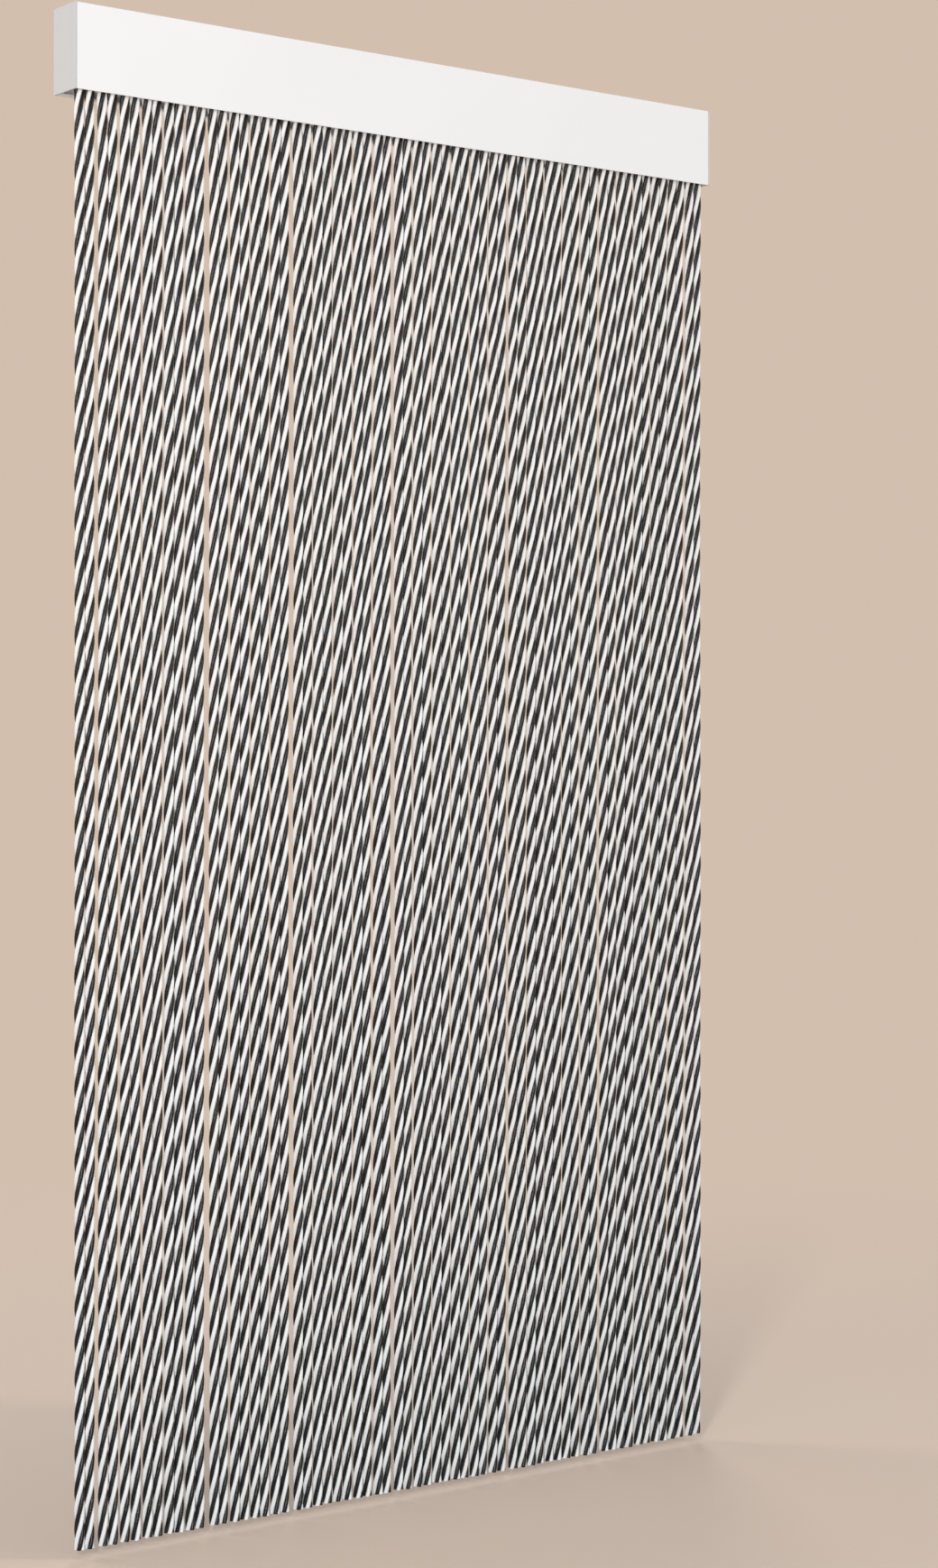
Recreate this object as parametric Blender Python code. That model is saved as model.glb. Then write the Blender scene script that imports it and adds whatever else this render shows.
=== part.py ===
"""Fly door curtain: a wall-mounted header rail with twisted cords hanging from a rod inside it.

Metres, +Z up. The wall is the plane Y = 0 and the front faces -Y, with +X to the right as seen
from the front. The origin is the middle of the header's back face, where it meets the wall.
"""

import math

import bmesh
import bpy
from mathutils import Matrix, Vector

# Driving dimensions, in metres.
CURTAIN_HEIGHT = 2.200
HEADER_HEIGHT = 0.123
HEADER_DEPTH = 0.062
PAIR_COUNT = 32
STRAND_DIAMETER = 0.015

# Running gap between pieces that touch on the real curtain.
SEAT_GAP = 0.0003

# Wall rail, an aluminium extrusion: web on the wall, top flange, bottom flange, bracket track.
RAIL_WALL = 0.002
RAIL_BOTTOM_FLANGE = 0.012
TRACK_LIP_THICKNESS = 0.0015
TRACK_LIP_REACH = 0.004
WALL_HOLE_DIAMETER = 0.0055
WALL_HOLE_ABOVE_TRACK = 0.030
WALL_HOLE_SHARES = (-0.42, -0.15, 0.15, 0.42)

# Front cover, an extrusion pushed on from the front.
COVER_WALL = 0.0015
COVER_RIB_THICKNESS = 0.0012
COVER_RIB_REACH = 0.0045
COVER_EDGE_RADIUS = 0.0008

# Moulded end caps.
CAP_THICKNESS = 0.003
CAP_CORNER_RADIUS = 0.002
CAP_SPIGOT_WALL = 0.0025
CAP_SPIGOT_LENGTH = 0.012
CAP_SPIGOT_DROP = 0.045
CAP_SOCKET_WALL = 0.002
CAP_SOCKET_LENGTH = 0.0027

# Hanging rod, a round steel bar through the eyes of all the cords.
ROD_DIAMETER = 0.006
ROD_ABOVE_EDGE = 0.008
SWING_ROOM = 0.0065

# Moulded head that joins two cords and holds the eye that swings on the rod. The cords of a pair
# hang close together, and the head's shoulders keep it apart from the next pair.
CORD_GAP = 0.0015
HEAD_SHOULDER = 0.00145
HEAD_OVERLAP = 0.0004
HEAD_END_PLAY = 0.0005
EYE_GAP = 0.0003
EYE_FLOOR = 0.0012

# Rod brackets, bent from steel strip: an arm in the gap between two heads and a foot in the track.
BRACKET_THICKNESS = 0.002
BRACKET_SIDE_GAP = 0.0004
BRACKET_AFTER_PAIRS = (2, 9, 16, 23, 30)
BRACKET_EYE_WALL = 0.0022
BRACKET_NOSE_HEIGHT = 0.004
BRACKET_NOSE_ABOVE_ROD = 0.005
ARM_ROOT_HEIGHT = 0.026
FOOT_HEIGHT = 0.036
FOOT_WIDTH = 0.022

# Clamp screws that hold the feet against the web.
SCREW_DIAMETER = 0.004
SCREW_HOLE_GAP = 0.0003
SCREW_HEAD_DIAMETER = 0.0072
SCREW_HEAD_HEIGHT = 0.0026
SCREW_SOCKET_WIDTH = 0.0025
SCREW_SOCKET_DEPTH = 0.0013

# Cuts run past the face that they open by this much, and points closer than the other are one.
OVERRUN = 0.001
MERGE_DISTANCE = 0.00003

# Facets of round pieces, and the angle under which two facets shade as one surface.
EYE_SIDES = 20
ROD_SIDES = 24
HOLE_SIDES = 20
SOCKET_SIDES = 6
CORNER_STEPS = 4
CORD_BEVEL_RESOLUTION = 4
SMOOTH_ANGLE = math.radians(35)

# Sizes that follow from the driving ones.
STRAND_RADIUS = STRAND_DIAMETER / 2
STRAND_PITCH = STRAND_DIAMETER + CORD_GAP
HEAD_WIDTH = STRAND_DIAMETER + STRAND_PITCH + 2 * HEAD_SHOULDER
HEAD_GAP = BRACKET_THICKNESS + 2 * BRACKET_SIDE_GAP
END_GAP = CAP_SOCKET_LENGTH + HEAD_END_PLAY
PAIR_PITCH = HEAD_WIDTH + HEAD_GAP
INSIDE_WIDTH = PAIR_COUNT * PAIR_PITCH - HEAD_GAP + 2 * END_GAP
HEADER_TOP = HEADER_HEIGHT / 2
HEADER_EDGE = -HEADER_HEIGHT / 2
STRAND_END = HEADER_TOP - CURTAIN_HEIGHT
ROD_RADIUS = ROD_DIAMETER / 2
ROD_Z = HEADER_EDGE + ROD_ABOVE_EDGE
COVER_INSIDE_Y = -HEADER_DEPTH + COVER_WALL
ROD_Y = COVER_INSIDE_Y + SWING_ROOM + STRAND_RADIUS
EXTRUSION_LENGTH = INSIDE_WIDTH - 2 * SEAT_GAP
FLANGE_TOP = HEADER_TOP - COVER_WALL - SEAT_GAP
FLANGE_FRONT_Y = COVER_INSIDE_Y + SEAT_GAP
FOOT_BACK_Y = -RAIL_WALL - SEAT_GAP
FOOT_FRONT_Y = FOOT_BACK_Y - BRACKET_THICKNESS
TRACK_LIP_BACK_Y = FOOT_FRONT_Y - SEAT_GAP
TRACK_LIP_FRONT_Y = TRACK_LIP_BACK_Y - TRACK_LIP_THICKNESS
NOSE_BOTTOM = ROD_Z + BRACKET_NOSE_ABOVE_ROD
NOSE_TOP = NOSE_BOTTOM + BRACKET_NOSE_HEIGHT
FOOT_MIDDLE_Z = ROD_Z + FOOT_HEIGHT / 2 + RAIL_WALL + TRACK_LIP_THICKNESS
FOOT_TOP = FOOT_MIDDLE_Z + FOOT_HEIGHT / 2
FOOT_BOTTOM = FOOT_MIDDLE_Z - FOOT_HEIGHT / 2
WALL_HOLE_Z = FOOT_TOP + TRACK_LIP_THICKNESS + WALL_HOLE_ABOVE_TRACK


def clear_scene():
    """Remove what the opened file holds."""
    for thing in list(bpy.data.objects):
        bpy.data.objects.remove(thing, do_unlink=True)


def make_material(name, colour, roughness, metallic):
    """A Principled material for one sub-part."""
    material = bpy.data.materials.new(name)
    material.use_nodes = True
    shader = material.node_tree.nodes["Principled BSDF"]
    shader.inputs["Base Color"].default_value = (*colour, 1.0)
    shader.inputs["Roughness"].default_value = roughness
    shader.inputs["Metallic"].default_value = metallic
    return material


def arc(centre, radius, start, end, steps):
    """Points of an arc in the (y, z) plane, both ends included; angles in degrees."""
    points = []
    for step in range(steps + 1):
        angle = math.radians(start + (end - start) * step / steps)
        points.append((centre[0] + radius * math.cos(angle), centre[1] + radius * math.sin(angle)))
    return points


def prism_x(outline, low_x, high_x):
    """A closed mesh: an outline of (y, z) points run along X."""
    mesh = bmesh.new()
    ring = [mesh.verts.new((low_x, y, z)) for y, z in outline]
    face = mesh.faces.new(ring)
    grown = bmesh.ops.extrude_face_region(mesh, geom=[face])
    moved = [item for item in grown["geom"] if isinstance(item, bmesh.types.BMVert)]
    bmesh.ops.translate(mesh, verts=moved, vec=Vector((high_x - low_x, 0, 0)))
    bmesh.ops.recalc_face_normals(mesh, faces=mesh.faces)
    return mesh


def cylinder(radius, start, end, sides):
    """A closed cylinder between two points."""
    mesh = bmesh.new()
    axis = Vector(end) - Vector(start)
    turn = axis.to_track_quat("Z", "Y").to_matrix().to_4x4()
    place = Matrix.Translation((Vector(start) + Vector(end)) / 2) @ turn
    bmesh.ops.create_cone(mesh, cap_ends=True, segments=sides, radius1=radius, radius2=radius,
                          depth=axis.length, matrix=place)
    return mesh


def box(low, high):
    """A closed box between two corners."""
    mesh = bmesh.new()
    size = Vector(high) - Vector(low)
    place = Matrix.Translation((Vector(low) + Vector(high)) / 2) @ Matrix.Diagonal((*size, 1))
    bmesh.ops.create_cube(mesh, size=1, matrix=place)
    return mesh


def add_object(name, mesh, material, origin=(0, 0, 0)):
    """Turn a bmesh in world places into a named object whose origin is at the given point."""
    bmesh.ops.translate(mesh, verts=mesh.verts, vec=-Vector(origin))
    data = bpy.data.meshes.new(name)
    mesh.to_mesh(data)
    mesh.free()
    thing = bpy.data.objects.new(name, data)
    thing.location = origin
    bpy.context.scene.collection.objects.link(thing)
    if material:
        data.materials.append(material)
    return thing


def hide_tool(thing):
    """Mark an object that only cuts or joins another."""
    thing.hide_render = True
    thing.display_type = "WIRE"


def combine(thing, mesh, operation):
    """Cut a bmesh out of an object, or join it on, with a Boolean modifier."""
    tool = add_object(f"{thing.name}_tool", mesh, None)
    hide_tool(tool)
    boolean = thing.modifiers.new(operation.lower(), "BOOLEAN")
    boolean.operation = operation
    boolean.object = tool


def smooth(thing):
    """Shade the round faces smooth and keep the corners sharp."""
    thing.data.shade_smooth()
    thing.data.set_sharp_from_angle(angle=SMOOTH_ANGLE)


def bake(thing):
    """Replace an object's mesh by what its modifiers make of it."""
    view = bpy.context.evaluated_depsgraph_get()
    made = bpy.data.meshes.new_from_object(thing.evaluated_get(view))
    tools = [modifier.object for modifier in thing.modifiers]
    thing.modifiers.clear()
    thing.data = made
    for tool in tools:
        bpy.data.objects.remove(tool, do_unlink=True)


def build_wall_rail(material):
    """The extrusion on the wall: one outline, then the holes for the wall screws."""
    lip_top = FOOT_TOP + SEAT_GAP
    lip_bottom = FOOT_BOTTOM - SEAT_GAP
    outline = [
        (0, HEADER_EDGE),
        (0, HEADER_TOP),
        (-RAIL_WALL, HEADER_TOP),
        (-RAIL_WALL, FLANGE_TOP),
        (FLANGE_FRONT_Y, FLANGE_TOP),
        (FLANGE_FRONT_Y, FLANGE_TOP - RAIL_WALL),
        (-RAIL_WALL, FLANGE_TOP - RAIL_WALL),
        (-RAIL_WALL, lip_top + TRACK_LIP_THICKNESS),
        (TRACK_LIP_FRONT_Y, lip_top + TRACK_LIP_THICKNESS),
        (TRACK_LIP_FRONT_Y, lip_top - TRACK_LIP_REACH),
        (TRACK_LIP_BACK_Y, lip_top - TRACK_LIP_REACH),
        (TRACK_LIP_BACK_Y, lip_top),
        (-RAIL_WALL, lip_top),
        (-RAIL_WALL, lip_bottom),
        (TRACK_LIP_BACK_Y, lip_bottom),
        (TRACK_LIP_BACK_Y, lip_bottom + TRACK_LIP_REACH),
        (TRACK_LIP_FRONT_Y, lip_bottom + TRACK_LIP_REACH),
        (TRACK_LIP_FRONT_Y, lip_bottom - TRACK_LIP_THICKNESS),
        (-RAIL_WALL, lip_bottom - TRACK_LIP_THICKNESS),
        (-RAIL_WALL, HEADER_EDGE + RAIL_WALL),
        (-RAIL_BOTTOM_FLANGE, HEADER_EDGE + RAIL_WALL),
        (-RAIL_BOTTOM_FLANGE, HEADER_EDGE),
    ]
    half = EXTRUSION_LENGTH / 2
    rail = add_object("wall_rail", prism_x(outline, -half, half), material)
    for share in WALL_HOLE_SHARES:
        x = share * EXTRUSION_LENGTH
        start = (x, OVERRUN, WALL_HOLE_Z)
        end = (x, -RAIL_WALL - OVERRUN, WALL_HOLE_Z)
        combine(rail, cylinder(WALL_HOLE_DIAMETER / 2, start, end, HOLE_SIDES), "DIFFERENCE")
    return rail


def build_front_cover(material):
    """The fascia: front wall, top flange, a groove for the rail's flange and one for the noses."""
    front = -HEADER_DEPTH
    rib_end = COVER_INSIDE_Y + COVER_RIB_REACH
    groove_low = FLANGE_TOP - RAIL_WALL - SEAT_GAP
    nose_low = NOSE_BOTTOM - SEAT_GAP
    nose_high = NOSE_TOP + SEAT_GAP
    radius = COVER_EDGE_RADIUS
    outline = arc((front + radius, HEADER_TOP - radius), radius, 180, 90, CORNER_STEPS)
    outline += [
        (-RAIL_WALL - SEAT_GAP, HEADER_TOP),
        (-RAIL_WALL - SEAT_GAP, HEADER_TOP - COVER_WALL),
        (COVER_INSIDE_Y, HEADER_TOP - COVER_WALL),
        (COVER_INSIDE_Y, groove_low),
        (rib_end, groove_low),
        (rib_end, groove_low - COVER_RIB_THICKNESS),
        (COVER_INSIDE_Y, groove_low - COVER_RIB_THICKNESS),
        (COVER_INSIDE_Y, nose_high + COVER_RIB_THICKNESS),
        (rib_end, nose_high + COVER_RIB_THICKNESS),
        (rib_end, nose_high),
        (COVER_INSIDE_Y, nose_high),
        (COVER_INSIDE_Y, nose_low),
        (rib_end, nose_low),
        (rib_end, nose_low - COVER_RIB_THICKNESS),
        (COVER_INSIDE_Y, nose_low - COVER_RIB_THICKNESS),
        (COVER_INSIDE_Y, HEADER_EDGE),
    ]
    outline += arc((front + radius, HEADER_EDGE + radius), radius, 270, 180, CORNER_STEPS)
    half = EXTRUSION_LENGTH / 2
    cover = add_object("front_cover", prism_x(outline, -half, half), material)
    smooth(cover)
    return cover


def build_end_cap(name, side, material):
    """An end plate with a spigot that fills the rail's top corner and a socket for the rod."""
    inner = side * INSIDE_WIDTH / 2
    outer = inner + side * CAP_THICKNESS
    radius = CAP_CORNER_RADIUS
    outline = arc((-HEADER_DEPTH + radius, HEADER_TOP - radius), radius, 180, 90, CORNER_STEPS)
    outline += [(0, HEADER_TOP), (0, HEADER_EDGE)]
    outline += arc((-HEADER_DEPTH + radius, HEADER_EDGE + radius), radius, 270, 180, CORNER_STEPS)
    cap = add_object(name, prism_x(outline, min(inner, outer), max(inner, outer)), material)
    back = -RAIL_WALL - SEAT_GAP
    top = FLANGE_TOP - RAIL_WALL - SEAT_GAP
    spigot = [
        (back, top),
        (back, top - CAP_SPIGOT_DROP),
        (back - CAP_SPIGOT_WALL, top - CAP_SPIGOT_DROP),
        (back - CAP_SPIGOT_WALL, top - CAP_SPIGOT_WALL),
        (back - CAP_SPIGOT_DROP, top - CAP_SPIGOT_WALL),
        (back - CAP_SPIGOT_DROP, top),
    ]
    tip = inner - side * CAP_SPIGOT_LENGTH
    root = inner + side * CAP_THICKNESS / 2
    combine(cap, prism_x(spigot, min(tip, root), max(tip, root)), "UNION")
    socket_radius = ROD_RADIUS + SEAT_GAP + CAP_SOCKET_WALL
    mouth = (inner - side * CAP_SOCKET_LENGTH, ROD_Y, ROD_Z)
    combine(cap, cylinder(socket_radius, mouth, (root, ROD_Y, ROD_Z), ROD_SIDES), "UNION")
    start = (inner - side * (CAP_SOCKET_LENGTH + OVERRUN), ROD_Y, ROD_Z)
    bore = cylinder(ROD_RADIUS + SEAT_GAP, start, (inner, ROD_Y, ROD_Z), ROD_SIDES)
    combine(cap, bore, "DIFFERENCE")
    smooth(cap)
    return cap


def build_hanging_rod(material):
    """The round bar, held endways by the caps' sockets and carried by the brackets' eyes."""
    half = INSIDE_WIDTH / 2 - SEAT_GAP
    mesh = cylinder(ROD_RADIUS, (-half, ROD_Y, ROD_Z), (half, ROD_Y, ROD_Z), ROD_SIDES)
    rod = add_object("hanging_rod", mesh, material)
    smooth(rod)
    return rod


def gap_middle(pair):
    """The X place of the gap that follows the given pair, counted from the left."""
    return (pair - PAIR_COUNT / 2) * PAIR_PITCH


def build_bracket(name, x, material):
    """A bent strip: the arm carries the rod, and its foot lies in the rail's track."""
    eye_radius = ROD_RADIUS + SEAT_GAP + BRACKET_EYE_WALL
    nose_front = COVER_INSIDE_Y + SEAT_GAP
    nose_back = ROD_Y - eye_radius
    arm_back = (FOOT_BACK_Y + FOOT_FRONT_Y) / 2
    outline = [
        (arm_back, FOOT_BOTTOM + TRACK_LIP_REACH),
        (arm_back, FOOT_BOTTOM + TRACK_LIP_REACH + ARM_ROOT_HEIGHT),
        (TRACK_LIP_FRONT_Y - SEAT_GAP, FOOT_BOTTOM + TRACK_LIP_REACH + ARM_ROOT_HEIGHT),
        (nose_back, NOSE_TOP),
        (nose_front, NOSE_TOP),
        (nose_front, NOSE_BOTTOM),
        (nose_back, NOSE_BOTTOM),
    ]
    outline += arc((ROD_Y, ROD_Z), eye_radius, 180, 300, EYE_SIDES // 2)
    outline.append((TRACK_LIP_FRONT_Y - SEAT_GAP, FOOT_BOTTOM + TRACK_LIP_REACH))
    half = BRACKET_THICKNESS / 2
    bracket = add_object(name, prism_x(outline, x - half, x + half), material)
    foot_low = (x - half, FOOT_FRONT_Y, FOOT_BOTTOM)
    foot_high = (x - half + FOOT_WIDTH, FOOT_BACK_Y, FOOT_TOP)
    combine(bracket, box(foot_low, foot_high), "UNION")
    overrun = half + OVERRUN
    start = (x - overrun, ROD_Y, ROD_Z)
    end = (x + overrun, ROD_Y, ROD_Z)
    combine(bracket, cylinder(ROD_RADIUS + SEAT_GAP, start, end, ROD_SIDES), "DIFFERENCE")
    start = (screw_x(x), FOOT_BACK_Y + OVERRUN, FOOT_MIDDLE_Z)
    end = (screw_x(x), FOOT_FRONT_Y - OVERRUN, FOOT_MIDDLE_Z)
    hole = cylinder(SCREW_DIAMETER / 2 + SCREW_HOLE_GAP, start, end, HOLE_SIDES)
    combine(bracket, hole, "DIFFERENCE")
    return bracket


def screw_x(bracket_x):
    """The X place of a bracket's clamp screw, in the middle of the foot's free part."""
    return bracket_x + FOOT_WIDTH / 2


def build_screw(name, x, material):
    """A cap screw whose tip presses on the web and whose head lies on the foot."""
    tip = (x, -RAIL_WALL - SEAT_GAP, FOOT_MIDDLE_Z)
    under = (x, FOOT_FRONT_Y - SEAT_GAP, FOOT_MIDDLE_Z)
    top = (x, under[1] - SCREW_HEAD_HEIGHT, FOOT_MIDDLE_Z)
    inside = (x, (under[1] + top[1]) / 2, FOOT_MIDDLE_Z)
    screw = add_object(name, cylinder(SCREW_HEAD_DIAMETER / 2, under, top, HOLE_SIDES), material)
    combine(screw, cylinder(SCREW_DIAMETER / 2, tip, inside, HOLE_SIDES), "UNION")
    floor = (x, top[1] + SCREW_SOCKET_DEPTH, FOOT_MIDDLE_Z)
    mouth = (x, top[1] - OVERRUN, FOOT_MIDDLE_Z)
    corner_radius = SCREW_SOCKET_WIDTH / 2 / math.cos(math.pi / SOCKET_SIDES)
    combine(screw, cylinder(corner_radius, mouth, floor, SOCKET_SIDES), "DIFFERENCE")
    smooth(screw)
    return screw


def cord_mesh(x):
    """One cord as a bevelled curve, from inside the head straight down to its cut end."""
    curve = bpy.data.curves.new("cord", "CURVE")
    curve.dimensions = "3D"
    curve.bevel_depth = STRAND_RADIUS
    curve.bevel_resolution = CORD_BEVEL_RESOLUTION
    curve.use_fill_caps = True
    line = curve.splines.new("POLY")
    line.points.add(1)
    line.points[0].co = (x, ROD_Y, ROD_Z - ROD_RADIUS - EYE_GAP - EYE_FLOOR / 2, 1)
    line.points[1].co = (x, ROD_Y, STRAND_END, 1)
    thing = bpy.data.objects.new("cord", curve)
    bpy.context.scene.collection.objects.link(thing)
    view = bpy.context.evaluated_depsgraph_get()
    made = bpy.data.meshes.new_from_object(thing.evaluated_get(view))
    bpy.data.objects.remove(thing, do_unlink=True)
    mesh = bmesh.new()
    mesh.from_mesh(made)
    bmesh.ops.remove_doubles(mesh, verts=mesh.verts, dist=MERGE_DISTANCE)
    bmesh.ops.recalc_face_normals(mesh, faces=mesh.faces)
    return mesh


def build_pair_pattern(material):
    """The first pair of cords with its head, at the middle of the rod, as the pattern for all."""
    head_radius = STRAND_RADIUS + HEAD_OVERLAP
    bore_radius = ROD_RADIUS + EYE_GAP
    floor = bore_radius + EYE_FLOOR
    dip = math.degrees(math.asin(floor / head_radius))
    outline = arc((ROD_Y, ROD_Z), head_radius, -dip, 180 + dip, EYE_SIDES)
    half = HEAD_WIDTH / 2
    pattern = add_object("strand_pair_01", prism_x(outline, -half, half), material)
    for side in (-1, 1):
        combine(pattern, cord_mesh(side * STRAND_PITCH / 2), "UNION")
    start = (-half - OVERRUN, ROD_Y, ROD_Z)
    end = (half + OVERRUN, ROD_Y, ROD_Z)
    combine(pattern, cylinder(bore_radius, start, end, EYE_SIDES), "DIFFERENCE")
    bake(pattern)
    hinge = Matrix.Translation((0, -ROD_Y, -ROD_Z))
    pattern.data.transform(hinge)
    smooth(pattern)
    return pattern


def build_strand_pairs(material):
    """All the pairs along the rod, each with its origin on the rod's axis."""
    pattern = build_pair_pattern(material)
    for number in range(1, PAIR_COUNT + 1):
        thing = pattern
        if number > 1:
            thing = bpy.data.objects.new(f"strand_pair_{number:02d}", pattern.data)
            bpy.context.scene.collection.objects.link(thing)
        x = (gap_middle(number - 1) + gap_middle(number)) / 2
        thing.location = (x, ROD_Y, ROD_Z)


def build_curtain():
    """Make every piece, from the wall outwards."""
    powder_coat = make_material("white_powder_coat", (0.88, 0.88, 0.87), 0.35, 0.0)
    cap_plastic = make_material("pale_grey_plastic", (0.68, 0.68, 0.68), 0.45, 0.0)
    zinc = make_material("zinc_plated_steel", (0.62, 0.63, 0.65), 0.35, 1.0)
    screw_steel = make_material("screw_steel", (0.45, 0.46, 0.48), 0.3, 1.0)
    cord_vinyl = make_material("twisted_vinyl_cord", (0.42, 0.42, 0.42), 0.4, 0.0)
    build_wall_rail(powder_coat)
    build_front_cover(powder_coat)
    build_end_cap("end_cap_left", -1, cap_plastic)
    build_end_cap("end_cap_right", 1, cap_plastic)
    build_hanging_rod(zinc)
    for number, pair in enumerate(BRACKET_AFTER_PAIRS, start=1):
        x = gap_middle(pair)
        build_bracket(f"rod_bracket_{number}", x, zinc)
        build_screw(f"bracket_screw_{number}", screw_x(x), screw_steel)
    build_strand_pairs(cord_vinyl)


clear_scene()
build_curtain()
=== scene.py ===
import math

import bpy
import numpy as np
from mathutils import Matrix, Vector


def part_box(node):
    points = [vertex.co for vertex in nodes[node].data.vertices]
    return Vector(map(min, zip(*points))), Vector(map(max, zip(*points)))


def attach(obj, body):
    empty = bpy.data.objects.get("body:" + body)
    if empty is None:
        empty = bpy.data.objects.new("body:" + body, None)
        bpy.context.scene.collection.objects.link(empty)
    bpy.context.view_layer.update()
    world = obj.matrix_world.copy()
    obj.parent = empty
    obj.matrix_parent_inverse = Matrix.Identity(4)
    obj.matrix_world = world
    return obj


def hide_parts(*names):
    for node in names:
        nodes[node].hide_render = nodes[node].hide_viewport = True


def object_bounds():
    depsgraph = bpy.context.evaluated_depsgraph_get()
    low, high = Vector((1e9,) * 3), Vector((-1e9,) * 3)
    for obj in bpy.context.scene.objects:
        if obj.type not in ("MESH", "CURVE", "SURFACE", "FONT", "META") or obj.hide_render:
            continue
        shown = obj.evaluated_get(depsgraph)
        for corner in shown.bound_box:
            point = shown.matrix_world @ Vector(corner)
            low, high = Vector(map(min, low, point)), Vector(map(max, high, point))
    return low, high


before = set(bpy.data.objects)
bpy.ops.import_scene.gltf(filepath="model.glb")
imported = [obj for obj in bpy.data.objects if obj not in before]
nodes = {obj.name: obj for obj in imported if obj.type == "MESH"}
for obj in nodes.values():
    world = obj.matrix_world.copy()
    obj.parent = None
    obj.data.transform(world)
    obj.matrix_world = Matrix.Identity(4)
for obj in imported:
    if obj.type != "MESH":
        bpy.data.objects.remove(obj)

cad_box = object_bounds()


# The wall rail is one length of extruded aluminium, screwed to the lintel above the door.
# It is powder coated in a satin white, with the fine orange peel that the baked coat always has,
# and dust settles on the ledges that look up.
WHITE_COAT = (0.83, 0.84, 0.85)
COAT_ROUGHNESS = 0.60
COAT_CLOUD_AMOUNT = 0.05
COAT_CLOUD_SIZE = 0.16
COAT_DUST_AMOUNT = 0.25
PEEL_SIZE = 0.0012
PEEL_DEPTH = 0.00003
HOUSE_DUST = (0.50, 0.47, 0.42)
DUST_PATCH_SIZE = 0.03
DUST_FACING_POWER = 3.0
DUST_DULLS_BY = 0.5
NOISE_DETAIL = 3.0
NOISE_MIDDLE = 0.5


def start_group(name, inputs, outputs):
    """A new node group with its named sockets, and its input and output nodes."""
    group = bpy.data.node_groups.new(name, "ShaderNodeTree")
    for label, kind in inputs:
        group.interface.new_socket(label, in_out="INPUT", socket_type=kind)
    for label, kind in outputs:
        group.interface.new_socket(label, in_out="OUTPUT", socket_type=kind)
    return group, group.nodes.new("NodeGroupInput"), group.nodes.new("NodeGroupOutput")


def math_node(tree, operation, first, second, clamp=False):
    """A Math node's output. Each term is a number or another node's output."""
    node = tree.nodes.new("ShaderNodeMath")
    node.operation = operation
    node.use_clamp = clamp
    for socket, term in zip(node.inputs, (first, second)):
        if isinstance(term, (int, float)):
            socket.default_value = term
        else:
            tree.links.new(term, socket)
    return node.outputs[0]


def noise_node(tree, place, size, detail=NOISE_DETAIL):
    """Noise whose lumps are about size metres across. Size is a number or a node's output."""
    noise = tree.nodes.new("ShaderNodeTexNoise")
    noise.inputs["Detail"].default_value = detail
    tree.links.new(place, noise.inputs["Vector"])
    tree.links.new(math_node(tree, "DIVIDE", 1.0, size), noise.inputs["Scale"])
    return noise.outputs["Fac"]


def mix_colour(tree, mask, first, second):
    """A colour that goes from first to second with the mask."""
    mix = tree.nodes.new("ShaderNodeMix")
    mix.data_type = "RGBA"
    tree.links.new(mask, mix.inputs["Factor"])
    for socket, colour in ((mix.inputs["A"], first), (mix.inputs["B"], second)):
        if isinstance(colour, tuple):
            socket.default_value = (*colour, 1.0)
        else:
            tree.links.new(colour, socket)
    return mix.outputs["Result"]


def object_place(tree):
    """The point's place on its object, in metres."""
    return tree.nodes.new("ShaderNodeTexCoord").outputs["Object"]


def build_tone_group():
    """Cloudy light and dark patches, as every coated or moulded surface has."""
    group, given, made = start_group(
        "cloudy_tone",
        (("Place", "NodeSocketVector"), ("Color", "NodeSocketColor"),
         ("Amount", "NodeSocketFloat"), ("Size", "NodeSocketFloat")),
        (("Color", "NodeSocketColor"),))
    noise = noise_node(group, given.outputs["Place"], given.outputs["Size"])
    shift = math_node(group, "SUBTRACT", noise, NOISE_MIDDLE)
    swing = math_node(group, "MULTIPLY", shift, given.outputs["Amount"])
    level = math_node(group, "ADD", swing, 1.0)
    scale = group.nodes.new("ShaderNodeVectorMath")
    scale.operation = "SCALE"
    group.links.new(given.outputs["Color"], scale.inputs[0])
    group.links.new(level, scale.inputs["Scale"])
    group.links.new(scale.outputs[0], made.inputs["Color"])
    return group


def build_dust_group():
    """Dust that lies on what faces up, thinner where the noise is low."""
    group, given, made = start_group(
        "settled_dust",
        (("Color", "NodeSocketColor"), ("Roughness", "NodeSocketFloat"), ("Amount", "NodeSocketFloat")),
        (("Color", "NodeSocketColor"), ("Roughness", "NodeSocketFloat")))
    normal = group.nodes.new("ShaderNodeNewGeometry").outputs["Normal"]
    upward = group.nodes.new("ShaderNodeSeparateXYZ")
    group.links.new(normal, upward.inputs[0])
    patches = noise_node(group, object_place(group), DUST_PATCH_SIZE)
    rise = math_node(group, "MAXIMUM", upward.outputs["Z"], 0.0)
    facing = math_node(group, "POWER", rise, DUST_FACING_POWER)
    mask = math_node(group, "MULTIPLY", facing, patches)
    mask = math_node(group, "MULTIPLY", mask, given.outputs["Amount"], clamp=True)
    group.links.new(mix_colour(group, mask, given.outputs["Color"], HOUSE_DUST), made.inputs["Color"])
    dulled = math_node(group, "MULTIPLY", mask, DUST_DULLS_BY)
    dull = math_node(group, "ADD", given.outputs["Roughness"], dulled)
    group.links.new(dull, made.inputs["Roughness"])
    return group


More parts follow.
